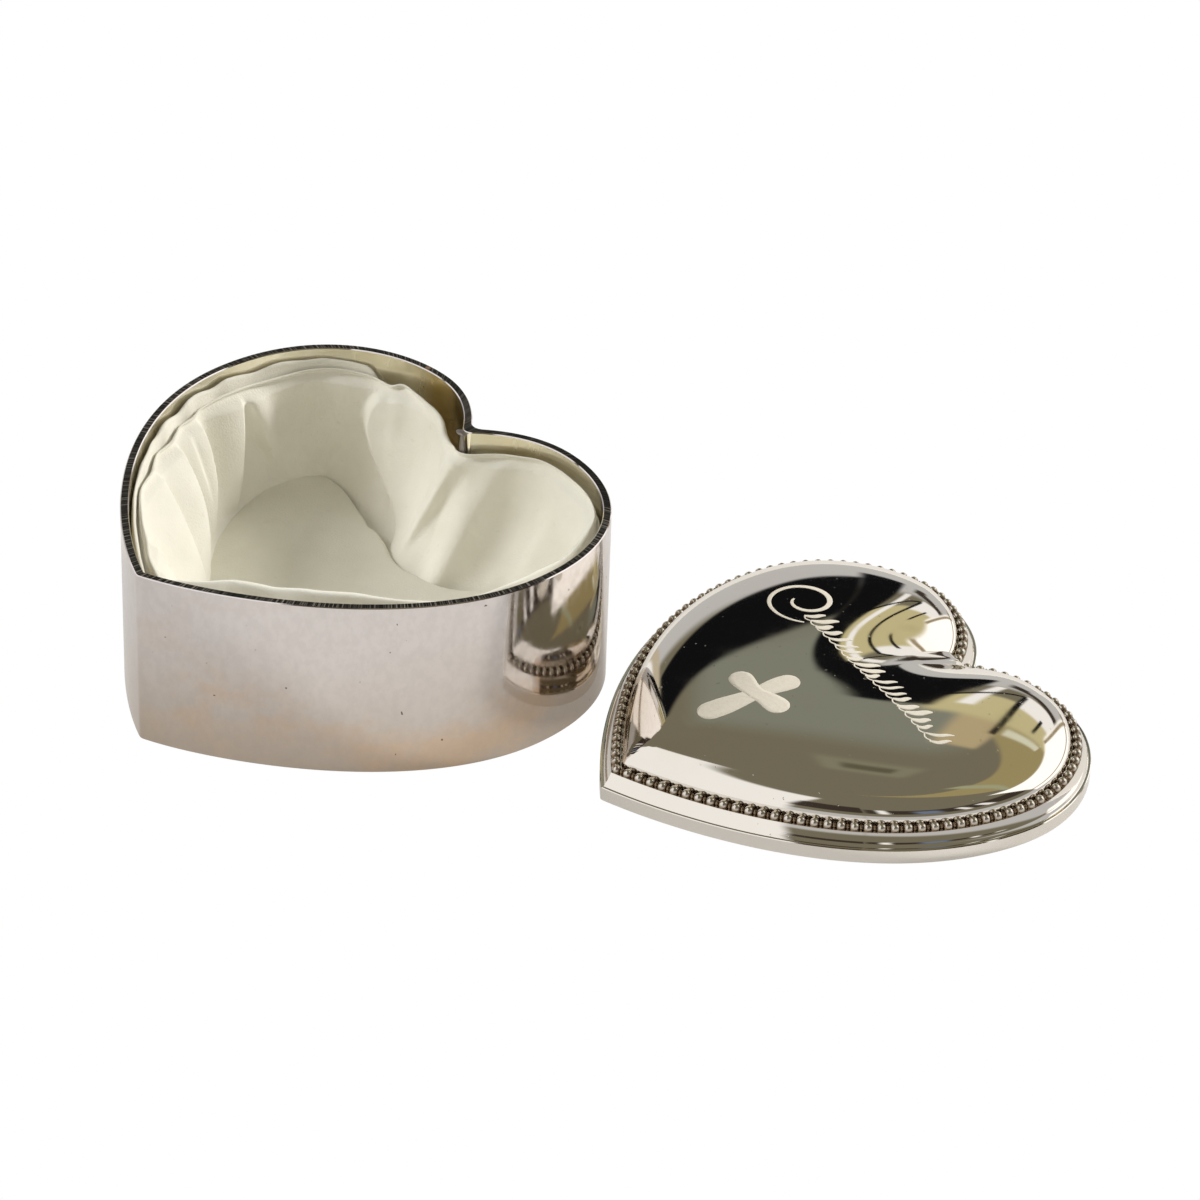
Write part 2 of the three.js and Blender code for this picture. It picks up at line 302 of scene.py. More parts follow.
def joined(patches):
    """Several (vertices, faces) pairs as one."""
    vertices, faces, start = [], [], 0
    for places, quads in patches:
        vertices.append(places)
        faces += [tuple(index + start for index in quad) for quad in quads]
        start += len(places)
    return np.vstack(vertices), faces


def smooth_step(value, low, high):
    share = np.clip((value - low) / (high - low), 0, 1)
    return share * share * (3 - 2 * share)


# Materials

class Tree:
    """Short names for making and joining shader nodes."""

    def __init__(self, tree):
        self.tree = tree
        tree.nodes.clear()

    def node(self, kind, **settings):
        made = self.tree.nodes.new(kind)
        for key, value in settings.items():
            setattr(made, key, value)
        return made

    def join(self, source, target):
        self.tree.links.new(source, target)

    def put(self, value, socket):
        """A number, colour or another node's output into a socket."""
        if isinstance(value, bpy.types.NodeSocket):
            self.join(value, socket)
        else:
            socket.default_value = value

    def math(self, operation, first, second=0.0):
        made = self.node("ShaderNodeMath", operation=operation)
        for value, socket in zip((first, second), made.inputs):
            self.put(value, socket)
        return made.outputs[0]

    def ramp(self, value, low, high, to_low=0.0, to_high=1.0):
        made = self.node("ShaderNodeMapRange", interpolation_type="SMOOTHSTEP", clamp=True)
        for number, socket in zip((value, low, high, to_low, to_high), made.inputs):
            self.put(number, socket)
        return made.outputs[0]

    def mix(self, share, first, second):
        made = self.node("ShaderNodeMix", data_type="RGBA")
        self.put(share, made.inputs[0])
        self.put(first, made.inputs[6])
        self.put(second, made.inputs[7])
        return made.outputs[2]

    def noise(self, where, scale, detail=2.0, roughness=0.5, stretch=(1, 1, 1)):
        mapping = self.node("ShaderNodeMapping")
        mapping.inputs["Scale"].default_value = stretch
        self.join(where, mapping.inputs[0])
        made = self.node("ShaderNodeTexNoise")
        made.inputs["Scale"].default_value = scale
        made.inputs["Detail"].default_value = detail
        made.inputs["Roughness"].default_value = roughness
        self.join(mapping.outputs[0], made.inputs["Vector"])
        return made.outputs[0]

    def place(self):
        return self.node("ShaderNodeTexCoord").outputs["Object"]

    def axis(self, where, number):
        split = self.node("ShaderNodeSeparateXYZ")
        self.join(where, split.inputs[0])
        return split.outputs[number]

    def emission(self, tone, strength):
        made = self.node("ShaderNodeEmission")
        made.inputs["Color"].default_value = tone
        made.inputs["Strength"].default_value = strength
        return made.outputs[0]

    def value(self, name):
        return self.node("ShaderNodeAttribute", attribute_name=name).outputs["Fac"]

    def bump(self, height, distance, strength=1.0, normal=None):
        made = self.node("ShaderNodeBump")
        made.inputs["Distance"].default_value = distance
        made.inputs["Strength"].default_value = strength
        self.join(height, made.inputs["Height"])
        if normal is not None:
            self.join(normal, made.inputs["Normal"])
        return made.outputs[0]


def empty_material(name):
    """A material with nothing but its output."""
    material = bpy.data.materials.new(name)
    material.use_nodes = True
    tree = Tree(material.node_tree)
    return material, tree, tree.node("ShaderNodeOutputMaterial").inputs["Surface"]


def new_material(name, metallic=1.0, roughness=0.5):
    """A material with one shader. Returns it with its tree and the shader's sockets."""
    material, tree, surface = empty_material(name)
    shader = tree.node("ShaderNodeBsdfPrincipled")
    tree.join(shader.outputs[0], surface)
    shader.inputs["Metallic"].default_value = metallic
    shader.inputs["Roughness"].default_value = roughness
    return material, tree, shader.inputs


def colour(red, green, blue):
    return (red, green, blue, 1.0)


WALL_PLAIN = colour(0.76, 0.715, 0.70)
# Painted shade: the darker, warmer colour at the wall's foot stands in for the shaded floor mirrored
# there.
WALL_FOOT_PAINTED_SHADE = colour(0.53, 0.45, 0.365)
WALL_STAIN = colour(0.70, 0.50, 0.33)
WALL_PEEL = colour(0.42, 0.38, 0.36)
WALL_PIT = colour(0.06, 0.05, 0.05)
INSIDE_PLAIN = colour(0.95, 0.91, 0.78)
INSIDE_CLOUD = colour(0.86, 0.78, 0.58)
GOLDEN_PLAIN = colour(0.72, 0.58, 0.30)
GOLDEN_CLOUD = colour(0.52, 0.40, 0.17)
# Painted reflection: the rim's near black stands in for the dark room above that it mirrors.
RIM_PAINTED_DARK_REFLECTION = colour(0.008, 0.008, 0.007)
RIM_WORN = colour(0.42, 0.38, 0.34)
LINT = colour(0.55, 0.5, 0.38)
BEAD_BRIGHT = colour(0.74, 0.69, 0.62)
# Partly old tarnish, partly painted shade between and under the beads.
BEAD_TARNISH_AND_SHADE = colour(0.27, 0.20, 0.13)
CUT_DARK = colour(0.74, 0.68, 0.58)
CUT_LIGHT = colour(0.92, 0.87, 0.77)
SOLDER_DARK = colour(0.16, 0.14, 0.13)
SOLDER_LIGHT = colour(0.42, 0.39, 0.37)
FLUX_DARK = colour(0.06, 0.03, 0.015)
FLUX_LIGHT = colour(0.3, 0.18, 0.09)
# Across the box, the inside is golden from where this begins to the cleft
GOLDEN_START = -24 * MM
GOLDEN_FULL = -17 * MM


def silver_material(name, clean, stained, stain_amount, roughness, waviness):
    """Polished plate: faint warm stains, smears of wear in the gloss and a surface never quite flat."""
    material, tree, shader = new_material(name)
    where = tree.place()
    stains = tree.ramp(tree.noise(where, 45, 4, 0.6), 0.5, 0.75, 0.0, stain_amount)
    tree.join(tree.mix(stains, clean, stained), shader["Base Color"])
    smears = tree.noise(where, 160, 5, 0.65, (1, 1, 0.35))
    tree.join(tree.ramp(smears, 0.4, 0.8, roughness, roughness * 2.2), shader["Roughness"])
    waves = tree.noise(where, 28, 1, 0.4)
    specks = tree.ramp(tree.noise(where, 900, 2, 0.5), 0.72, 0.78)
    waved = tree.bump(waves, waviness * MM)
    tree.join(tree.bump(specks, -0.012 * MM, 1.0, waved), shader["Normal"])
    return material


def wall_material():
    """The box's wall: silver painted darker and warmer towards its foot, a painted shade for the shaded
    floor it mirrors there, with a fine peel, brown stains and pits.
    """
    material, tree, shader = new_material("wall_silver")
    where = tree.place()
    height = tree.axis(where, 2)
    wander = tree.math("MULTIPLY", tree.noise(where, 30, 3, 0.6), 20 * MM)
    # Painted shade: the colour turns darker and warmer towards the foot, for the shaded floor that the
    # wall mirrors there.
    low = tree.ramp(tree.math("ADD", height, wander), 4 * MM, 42 * MM, 1.0, 0.0)
    plain = tree.mix(low, WALL_PLAIN, WALL_FOOT_PAINTED_SHADE)
    stains = tree.ramp(tree.noise(where, 38, 4, 0.6, (1, 1, 1.6)), 0.52, 0.72)
    stains = tree.math("MULTIPLY", stains, tree.ramp(height, 6 * MM, 28 * MM, 0.6, 0.15))
    tone = tree.mix(stains, plain, WALL_STAIN)
    peel = tree.noise(where, 620, 3, 0.6, (1, 1, 0.7))
    tone = tree.mix(tree.ramp(peel, 0.35, 0.65, 0.0, 0.12), tone, WALL_PEEL)
    pits = tree.ramp(tree.noise(where, 900, 1, 0.4), 0.785, 0.80)
    tree.join(tree.mix(tree.math("MULTIPLY", pits, 0.8), tone, WALL_PIT), shader["Base Color"])
    tree.join(tree.ramp(peel, 0.35, 0.7, 0.06, 0.12), shader["Roughness"])
    waved = tree.bump(tree.noise(where, 28, 1, 0.4), 0.05 * MM)
    tree.join(tree.bump(peel, 0.0016 * MM, 1.0, waved), shader["Normal"])
    return material


def inner_material():
    """The wall's inside: tarnished to a golden brown, darkest in the far lobe beside the cleft."""
    material, tree, shader = new_material("tarnished_silver")
    where = tree.place()
    across = tree.axis(where, 0)
    in_lobe = tree.ramp(across, GOLDEN_START, GOLDEN_FULL)
    before_cleft = tree.ramp(across, MM, -MM)
    beside = tree.math("MULTIPLY", in_lobe, before_cleft)
    clouds = tree.ramp(tree.noise(where, 60, 4, 0.6), 0.35, 0.7)
    plain = tree.mix(clouds, INSIDE_PLAIN, INSIDE_CLOUD)
    golden = tree.mix(clouds, GOLDEN_PLAIN, GOLDEN_CLOUD)
    tree.join(tree.mix(beside, plain, golden), shader["Base Color"])
    scratches = tree.noise(where, 240, 4, 0.7, (1, 1, 0.3))
    tree.join(tree.ramp(scratches, 0.4, 0.8, 0.16, 0.34), shader["Roughness"])
    tree.join(tree.bump(scratches, 0.02 * MM), shader["Normal"])
    return material


def rim_material():
    """The wall's filed top edge: near black, a painted reflection of the dark room above, with fine
    file marks across it.
    """
    material, tree, shader = new_material("filed_rim_painted_dark", 0.7, 0.42)
    where = tree.node("ShaderNodeCombineXYZ")
    tree.join(tree.value("along"), where.inputs[0])
    marks = tree.noise(where.outputs[0], 2.2, 2, 0.8)
    blotches = tree.noise(tree.place(), 90, 3, 0.6)
    tone = tree.ramp(marks, 0.48, 0.62)
    worn = tree.math("MULTIPLY", tone, tree.ramp(blotches, 0.35, 0.6, 0.15, 1.0))
    # Painted reflection: the rim's near-black ground stands in for the dark room it mirrors; the
    # lighter marks are file marks.
    tree.join(tree.mix(worn, RIM_PAINTED_DARK_REFLECTION, RIM_WORN), shader["Base Color"])
    tree.join(tree.bump(marks, 0.05 * MM), shader["Normal"])
    return material


def cloth_material(name, light, shade):
    """Soft napped cloth: a short pile, faint mottling and a little lint."""
    material, tree, shader = new_material(name, 0.0, 0.95)
    where = tree.place()
    mottle = tree.noise(where, 70, 3, 0.6)
    nap = tree.noise(where, 2600, 2, 0.6)
    lint = tree.ramp(tree.noise(where, 520, 1, 0.4), 0.73, 0.78)
    tone = tree.mix(tree.ramp(mottle, 0.3, 0.7), shade, light)
    tree.join(tree.mix(tree.math("MULTIPLY", lint, 0.12), tone, LINT), shader["Base Color"])
    shader["Specular IOR Level"].default_value = 0.15
    shader["Sheen Weight"].default_value = 0.25
    shader["Sheen Roughness"].default_value = 0.5
    soft = tree.bump(mottle, 0.12 * MM)
    tree.join(tree.bump(nap, 0.14 * MM, 0.7, soft), shader["Normal"])
    return material


def bead_material():
    """The beading: bright on the beads, brown between and under them, partly old tarnish and partly
    painted shade.
    """
    material, tree, shader = new_material("bead_silver")
    tarnish_and_shade = tree.value("tarnish_and_shade")
    tree.join(tree.mix(tarnish_and_shade, BEAD_BRIGHT, BEAD_TARNISH_AND_SHADE), shader["Base Color"])
    tree.join(tree.ramp(tarnish_and_shade, 0.2, 0.9, 0.06, 0.35), shader["Roughness"])
    return material


def grainy_material(name, metallic, roughness, dark, light, grain, depth):
    """A matt surface. The grain is the noise's scale, detail and roughness."""
    material, tree, shader = new_material(name, metallic, roughness)
    grains = tree.noise(tree.place(), *grain)
    tree.join(tree.mix(grains, dark, light), shader["Base Color"])
    tree.join(tree.bump(grains, depth * MM), shader["Normal"])
    return material


wall_silver = wall_material()
lid_silver = silver_material(
    "lid_silver", colour(0.84, 0.80, 0.74), colour(0.76, 0.66, 0.52), 0.25, 0.035, 0.02)
inner_silver = inner_material()
filed_rim_painted_dark = rim_material()
bead_silver = bead_material()
front_cloth = cloth_material("front_cloth", colour(0.87, 0.85, 0.77), colour(0.82, 0.80, 0.71))
pad_cloth = cloth_material("pad_cloth", colour(0.80, 0.78, 0.675), colour(0.75, 0.73, 0.62))
engraved = grainy_material(
    "engraved_silver", 0.15, 0.62, CUT_DARK, CUT_LIGHT, (1500, 3, 0.7), 0.04)
solder = grainy_material(
    "soft_solder", 0.85, 0.4, SOLDER_DARK, SOLDER_LIGHT, (700, 4, 0.7), 0.1)
burnt_flux = grainy_material(
    "burnt_flux", 0.0, 0.6, FLUX_DARK, FLUX_LIGHT, (900, 3, 0.6), 0.06)


# The box's metal shell

EDGE = 0.16
# The rows of faces that have their own materials. The other rows are the wall's outside.
RIM_ROW = 4
INSIDE_ROW = 6


def make_box_shell():
    outside = heart_ring(BOX_HALF, 0, BOX_STEPS, TIP_RADIUS, NOTCH_RADIUS)
    outside_edge = heart_ring(BOX_HALF, -EDGE, BOX_STEPS, TIP_RADIUS, NOTCH_RADIUS + EDGE)
    inside = heart_ring(BOX_HALF, -WALL, BOX_STEPS, 0, SOLDER_RADIUS)
    inside_edge = heart_ring(BOX_HALF, -WALL + EDGE, BOX_STEPS, 0, SOLDER_RADIUS)
    rings = [
        lift(outside_edge, 0),
        lift(outside, EDGE),
        lift(outside, BOX_HEIGHT / 2),
        lift(outside, BOX_HEIGHT - EDGE),
        lift(outside_edge, BOX_HEIGHT),
        lift(inside_edge, BOX_HEIGHT),
        lift(inside, BOX_HEIGHT - EDGE),
        lift(inside, BASE),
    ]
    vertices, faces = loft(rings, (0, 0, 0), (0, 0, BASE))
    materials = (wall_silver, filed_rim_painted_dark, inner_silver)
    count = len(outside)
    painted = np.zeros(len(faces), int)
    painted[RIM_ROW * count:(RIM_ROW + 1) * count] = materials.index(filed_rim_painted_dark)
    painted[INSIDE_ROW * count:(INSIDE_ROW + 1) * count] = materials.index(inner_silver)
    painted[-count:] = materials.index(inner_silver)
    shell = new_mesh("silver_box", vertices, faces, materials, painted, smooth_angle=30)
    add_values(shell, "along", np.r_[np.tile(line_lengths(outside), len(rings)), 0, 0])
    return shell


box_shell = make_box_shell()
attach(box_shell, "root")
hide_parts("box_shell")


# Traces of the making: solder in the cleft's inside corner, and burnt flux on the rim

LUMP_ROWS = 14
LUMP_SIDES = 22
LUMP_ROUGHNESS = 0.16
LUMP_DETAIL = 1.9
CLEFT_INSIDE = BOX_HEART["length"] / 2 - BOX_HEART["cleft_depth"] - WALL / math.sin(
    math.radians(BOX_HEART["cleft_angle"] / 2))
# Each lump's middle and half sizes
SOLDER_LUMPS = (
    ((-0.35, CLEFT_INSIDE + 0.35, BOX_HEIGHT - 0.35), (1.25, 0.75, 0.33)),
    ((0.1, CLEFT_INSIDE + 0.15, BOX_HEIGHT - 4.4), (0.75, 0.45, 4.2)),
)
FLUX_LUMPS = (
    ((-20.7, 40.6, BOX_HEIGHT - 0.25), (0.75, 0.55, 0.42)),
    ((-19.9, 41.0, BOX_HEIGHT - 0.5), (0.4, 0.5, 0.3)),
)


def lump(middle, sizes, seed):
    """A rough round blob."""
    rows = []
    for row in range(LUMP_ROWS):
        rise = math.pi * (row + 0.5) / LUMP_ROWS - math.pi / 2
        flat = math.cos(rise)
        for side in range(LUMP_SIDES):
            turn = 2 * math.pi * side / LUMP_SIDES
            way = Vector((flat * math.cos(turn), flat * math.sin(turn), math.sin(rise)))
            reach = 1 + LUMP_ROUGHNESS * noise.noise(way * LUMP_DETAIL + Vector((seed, 0, 0)))
            rows.append([start + way[axis] * reach * sizes[axis] for axis, start in enumerate(middle)])
    faces = grid_faces(LUMP_ROWS, LUMP_SIDES)
    faces.append(tuple(range(LUMP_SIDES))[::-1])
    faces.append(tuple(range((LUMP_ROWS - 1) * LUMP_SIDES, LUMP_ROWS * LUMP_SIDES)))
    return np.array(rows), faces


def make_lumps(name, lumps, material):
    patches = [lump(middle, sizes, seed) for seed, (middle, sizes) in enumerate(lumps)]
    vertices, faces = joined(patches)
    made = new_mesh(name, vertices, faces, (material,))
    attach(made, "root")
    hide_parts("box_shell")


make_lumps("cleft_solder", SOLDER_LUMPS, solder)
make_lumps("rim_flux", FLUX_LUMPS, burnt_flux)


# The lid

lid_low, lid_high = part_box("lid")


def lid_ring(offset, tip_round=0.0, cleft_round=0.0):
    tip = max(tip_round, LID_TIP_RADIUS + offset, 0.0)
    return heart_ring(LID_HALF, offset, LID_STEPS, tip, cleft_round)


def turned(points, turn, middle):
    """Points turned about the vertical and moved to a middle."""
    spun = points.copy()
    spun[:, 0] = points[:, 0] * math.cos(turn) - points[:, 1] * math.sin(turn) + middle[0]
    spun[:, 1] = points[:, 0] * math.sin(turn) + points[:, 1] * math.cos(turn) + middle[1]
    return spun


def lid_middle():
    """Where the lid's own origin lies: its turned outline fills the CAD lid's box."""
    ring = turned(lift(lid_ring(0), 0), LID_TURN, (0, 0))
    low = ring.min(axis=0)
    high = ring.max(axis=0)
    across = (lid_low.x + lid_high.x) / 2 / MM - (low[0] + high[0]) / 2
    along = (lid_low.y + lid_high.y) / 2 / MM - (low[1] + high[1]) / 2
    return across, along


LID_MIDDLE = lid_middle()


def valley_share(points):
    """The share of the dome's height that the valley leaves at each point."""
    cleft = LID_HEART["length"] / 2 - LID_HEART["cleft_depth"]
    across = (points[..., 0] / VALLEY_HALF_WIDTH) ** 2
    along = ((points[..., 1] - cleft) / VALLEY_LENGTH) ** 2
    return 1 - VALLEY_DEPTH * np.exp(-across - along)


def dome_rings(offset, foot_height, rows):
    """Rings from the dome's foot to near its middle. They grow rounder as they rise."""
    rings = []
    for row in range(rows):
        angle = math.pi / 2 * row / rows
        reach = math.cos(angle) ** (2 / DOME_FULLNESS)
        height = DOME_RISE * math.sin(angle) ** (2 / DOME_FULLNESS)
        inward = 1 - reach
        foot = lid_ring(offset, FOOT_TIP_ROUND + TIP_ROUNDING * inward, CLEFT_ROUNDING * inward)
        circle = foot / np.linalg.norm(foot, axis=1)[:, None] * DOME_CORE_RADIUS
        ring = (circle + (foot - circle) * reach ** DOME_HEART_SHARE) * reach
        rings.append(lift(ring, foot_height + height * valley_share(ring)))
    return rings


def dome_middle(foot_height):
    return (0, 0, foot_height + DOME_RISE * float(valley_share(np.zeros(2))))


LID_EDGE = 0.12
CREASE = 0.1
# Where the moulding swells, as shares of its slope and height
SWELL_SLOPE = 0.35
SWELL_HEIGHT = 0.55


def make_lid():
    hollow_height = SHELF_HEIGHT - DOME_WALL
    hollow = dome_rings(min(-SEAT_WIDTH, DOME_FOOT - DOME_WALL), hollow_height, HOLLOW_ROWS)
    dome = dome_rings(DOME_FOOT, SHELF_HEIGHT, DOME_ROWS)
    moulding_top = SKIRT_HEIGHT + MOULDING_HEIGHT
    edge = (
        (-SEAT_WIDTH, hollow_height - DOME_WALL),
        (-SEAT_WIDTH, LID_EDGE),
        (-SEAT_WIDTH + LID_EDGE, 0),
        (-LID_EDGE, 0),
        (0, LID_EDGE),
        (0, SKIRT_HEIGHT - LID_EDGE),
        (-LID_EDGE, SKIRT_HEIGHT),
        (-LEDGE_WIDTH + CREASE, SKIRT_HEIGHT),
        (-LEDGE_WIDTH, SKIRT_HEIGHT + CREASE),
        (-LEDGE_WIDTH - MOULDING_SLOPE * SWELL_SLOPE, SKIRT_HEIGHT + MOULDING_HEIGHT * SWELL_HEIGHT),
        (BAND_FOOT + CREASE, moulding_top - CREASE),
        (BAND_FOOT, moulding_top),
        (SHELF_OUTER + CREASE, SHELF_HEIGHT - CREASE * 2),
        (SHELF_OUTER, SHELF_HEIGHT),
    )
    rings = hollow[::-1] + [lift(lid_ring(offset), height) for offset, height in edge] + dome
    vertices, faces = loft(rings, dome_middle(hollow_height), dome_middle(SHELF_HEIGHT))
    placed = turned(vertices, LID_TURN, LID_MIDDLE)
    return new_mesh("silver_lid", placed, faces, (lid_silver,), smooth_angle=32)


lid = make_lid()
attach(lid, "root")
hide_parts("lid")


# The beaded wire round the dome: big beads with a small link bead between them

BEAD_STATIONS = 11
LINK_STATIONS = 5
LINK_DIAMETER = 0.95
LINK_LENGTH_SHARE = 0.7
NECK_RADIUS = 0.28
BEAD_SIDES = 18
# Degrees along a bead at which its first ring stands, and a short step ahead for its direction
BEAD_START = 12
LINK_START = 30
STEP_AHEAD = 0.05


def make_beads():
    half = half_outline(LID_HALF, BEAD_LINE, 0, 0)
    half_length = line_lengths(half)[-1]
    half_count = round(half_length / BEAD_PITCH)
    pitch = half_length / half_count
    closed = np.vstack([half, half[1:-1][::-1] * [-1, 1], half[:1]])
    bead_radius = BEAD_DIAMETER / 2
    link_radius = LINK_DIAMETER / 2
    bead_angles = np.radians(np.linspace(BEAD_START, 180 - BEAD_START, BEAD_STATIONS))
    link_angles = np.radians(np.linspace(LINK_START, 180 - LINK_START, LINK_STATIONS))
    stations = []
    for number in range(2 * half_count):
        for angle in bead_angles:
            along = number * pitch - bead_radius * math.cos(angle)
            stations.append((along, bead_radius * math.sin(angle)))
        for angle in link_angles:
            along = (number + 0.5) * pitch - link_radius * LINK_LENGTH_SHARE * math.cos(angle)
            stations.append((along, max(NECK_RADIUS, link_radius * math.sin(angle))))
    stations.sort()
    total = line_lengths(closed)[-1]
    places, radii = np.array(stations).T
    middles = points_along(closed, places % total)
    tangents = points_along(closed, (places + STEP_AHEAD) % total) - middles
    tangents /= np.linalg.norm(tangents, axis=1)[:, None]
    height = SHELF_HEIGHT + bead_radius - BEAD_SINK
    rings = []
    for middle, tangent, radius in zip(middles, tangents, radii):
        across = np.array([tangent[1], -tangent[0]])
        angles = np.arange(BEAD_SIDES) * 2 * math.pi / BEAD_SIDES
        flat = middle + np.outer(np.cos(angles), across) * radius
        rings.append(np.column_stack([flat, height + radius * np.sin(angles)]))
    vertices, faces = loft(rings, closed=True)
    placed = turned(vertices, LID_TURN, LID_MIDDLE)
    beading = new_mesh("lid_beading", placed, faces, (bead_silver,), smooth_angle=50)
    # Painted shade with tarnish: the links and the beads' lower halves turn brown where shade falls
    # between and under the beads.
    narrow = 1 - smooth_step(radii / bead_radius, 0.55, 0.95)
    low = 1 - smooth_step(vertices[:, 2], SHELF_HEIGHT + 0.1, SHELF_HEIGHT + bead_radius)
    add_values(beading, "tarnish_and_shade", np.maximum(np.repeat(narrow, BEAD_SIDES), low))
    return beading


beads = make_beads()
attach(beads, "root")
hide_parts("lid")


# The engraving: a cross of four petals, and a scroll with a row of slanted strokes

CROSS_MIDDLE = (0.3, -11.7)
PETALS = ((-92.0, 11.4, 2.4), (90.0, 8.6, 2.2), (178.0, 7.3, 2.2), (14.0, 7.0, 2.25))
PETAL_WAIST = 1.6
ROW_START = -17.0
ROW_END = 24.5
ROW_FOOT = 8.5
ROW_STROKES = 21
STROKE_HEIGHT = 3.4
STROKE_HALF_WIDTH = 0.6
SCROLL_MIDDLE = (-21.4, 11.4)
SCROLL_TURNS = 1.3
SCROLL_RADIUS = 8.2
CUT_LIFT = 0.03
LIFT_STEP = 0.004


def lid_surface(made):
    """A function that gives the height of the dome, in the lid's own millimetres."""
    count = len(made.data.vertices)
    places = np.empty(count * 3)
    made.data.vertices.foreach_get("co", places)
    places = places.reshape(-1, 3) / MM - [LID_MIDDLE[0], LID_MIDDLE[1], 0]
    own = turned(places, -LID_TURN, (0, 0))
    faces = [tuple(face.vertices) for face in made.data.polygons]
    tree = BVHTree.FromPolygons(own.tolist(), faces)

    def height(across, along):
        hit = tree.ray_cast(Vector((across, along, 60)), Vector((0, 0, -1)))
        return hit[0].z

    return height


def ribbon(path, half_widths, height, rise):
    """A thin patch on the dome along a path, with its edges turned down."""
    path = np.asarray(path)
    ahead = np.gradient(path, axis=0)
    ahead /= np.linalg.norm(ahead, axis=1)[:, None]
    across = np.stack([-ahead[:, 1], ahead[:, 0]], axis=1)
    shares = np.array([-1.0, -0.97, -0.6, 0.0, 0.6, 0.97, 1.0])
    drops = np.array([0.06, 0.0, 0.0, 0.0, 0.0, 0.0, 0.06])
    rows = []
    for point, side, half_width in zip(path, across, half_widths):
        for share, drop in zip(shares, drops):
            place = point + side * half_width * share
            rows.append((place[0], place[1], height(place[0], place[1]) + rise - drop))
    return np.array(rows), grid_faces(len(path), len(shares), closed_columns=False)


def petal(angle, length, half_width, height, rise):
    share = np.linspace(0, 1, 60)
    along = share * length
    turn = math.radians(angle)
    bow = 0.25 * np.sin(share * math.pi)
    path = np.stack([
        CROSS_MIDDLE[0] + along * math.cos(turn) - bow * math.sin(turn),
        CROSS_MIDDLE[1] + along * math.sin(turn) + bow * math.cos(turn),
    ], axis=1)
    cap = half_width / length
    swell = PETAL_WAIST + (half_width - PETAL_WAIST) * smooth_step(share, 0.0, 0.65)
    past = np.clip((share - (1 - cap)) / cap, 0, 0.999)
    return ribbon(path, swell * np.sqrt(1 - past ** 2), height, rise)


def slanted_stroke(number, height, rise):
    """One comma-like cut of the row. Each differs a little in height, slant and weight."""
    wave = math.sin(number * 2.4)
    share = np.linspace(0, 1, 22)
    tall = STROKE_HEIGHT * (1 + 0.22 * math.sin(number * 1.7) + 0.1 * wave)
    start = ROW_START + (ROW_END - ROW_START) * number / (ROW_STROKES - 1)
    slant = 0.62 + 0.1 * math.sin(number * 3.1)
    lean = start + share * tall * slant + 0.35 * np.sin(share * math.pi * 1.6)
    path = np.stack([lean, ROW_FOOT + 0.25 * wave + share * tall], axis=1)
    weight = STROKE_HALF_WIDTH * (0.9 + 0.25 * math.sin(number * 0.9))
    widths = weight * np.sin(np.clip(share * 0.92 + 0.05, 0, 1) * math.pi) ** 0.6
    return ribbon(path, np.maximum(widths, 0.06), height, rise)


def joining_stroke(number, height, rise):
    """The hairline between two cuts of the row."""
    share = np.linspace(0, 1, 12)
    pitch = (ROW_END - ROW_START) / (ROW_STROKES - 1)
    start = ROW_START + pitch * number
    path = np.stack([start + share * pitch, ROW_FOOT + 0.15 - 0.5 * np.sin(share * math.pi)], axis=1)
    return ribbon(path, np.full(12, 0.13), height, rise)


def scroll(height, rise):
    share = np.linspace(0, 1, 150)
    turn = math.radians(-35) - share * SCROLL_TURNS * 2 * math.pi
    radius = SCROLL_RADIUS * (1 - 0.72 * share)
    path = np.stack([
        SCROLL_MIDDLE[0] + radius * np.cos(turn) * 0.95,
        SCROLL_MIDDLE[1] + radius * np.sin(turn) * 0.88,
    ], axis=1)
    widths = 0.16 + 0.34 * np.sin(share * math.pi) ** 0.7
    return ribbon(path, widths, height, rise)


def make_engraving():
    height = lid_surface(lid)
    patches = []
    for number, (angle, length, half_width) in enumerate(PETALS):
        patches.append(petal(angle, length, half_width, height, CUT_LIFT + number * LIFT_STEP))
    for number in range(ROW_STROKES):
        patches.append(slanted_stroke(number, height, CUT_LIFT + LIFT_STEP))
    for number in range(ROW_STROKES - 1):
        patches.append(joining_stroke(number, height, CUT_LIFT))
    patches.append(scroll(height, CUT_LIFT))
    vertices, faces = joined(patches)
    placed = turned(vertices, LID_TURN, LID_MIDDLE)
    return new_mesh("lid_engraving", placed, faces, (engraved,))


engraving = make_engraving()
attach(engraving, "root")
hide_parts("lid")


# The lining

LINING_STEPS = 420
INSET_STEP = 0.5
INSET_MOST = 26.0
LINING_BACK = WALL + 0.35
INSET_TIP_ROUND = 1.0
INSET_TIP_ROUNDING = 0.35
CURVE_SOFTNESS = 6


def inset_rings():
    """The outline at a stack of insets, so that a point can slide inwards from the wall."""
    insets = np.arange(0, INSET_MOST + INSET_STEP, INSET_STEP)
    rings = []
    for inset in insets:
        tip_round = INSET_TIP_ROUND + INSET_TIP_ROUNDING * inset
        rings.append(heart_ring(BOX_HALF, -inset, LINING_STEPS, tip_round, max(inset, 0.01), 0.0))
    return np.stack(rings)


INSET_RINGS = inset_rings()
LINING_COUNT = 2 * LINING_STEPS - 2
ROUND = np.arange(LINING_COUNT) / LINING_COUNT


def slide(inset):
    """The plan place of each column at its own inset."""
    level = np.clip(inset / INSET_STEP, 0, len(INSET_RINGS) - 1.001)
    low = level.astype(int)
    share = (level - low)[:, None]
    column = np.arange(LINING_COUNT)
    return INSET_RINGS[low, column] * (1 - share) + INSET_RINGS[low + 1, column] * share


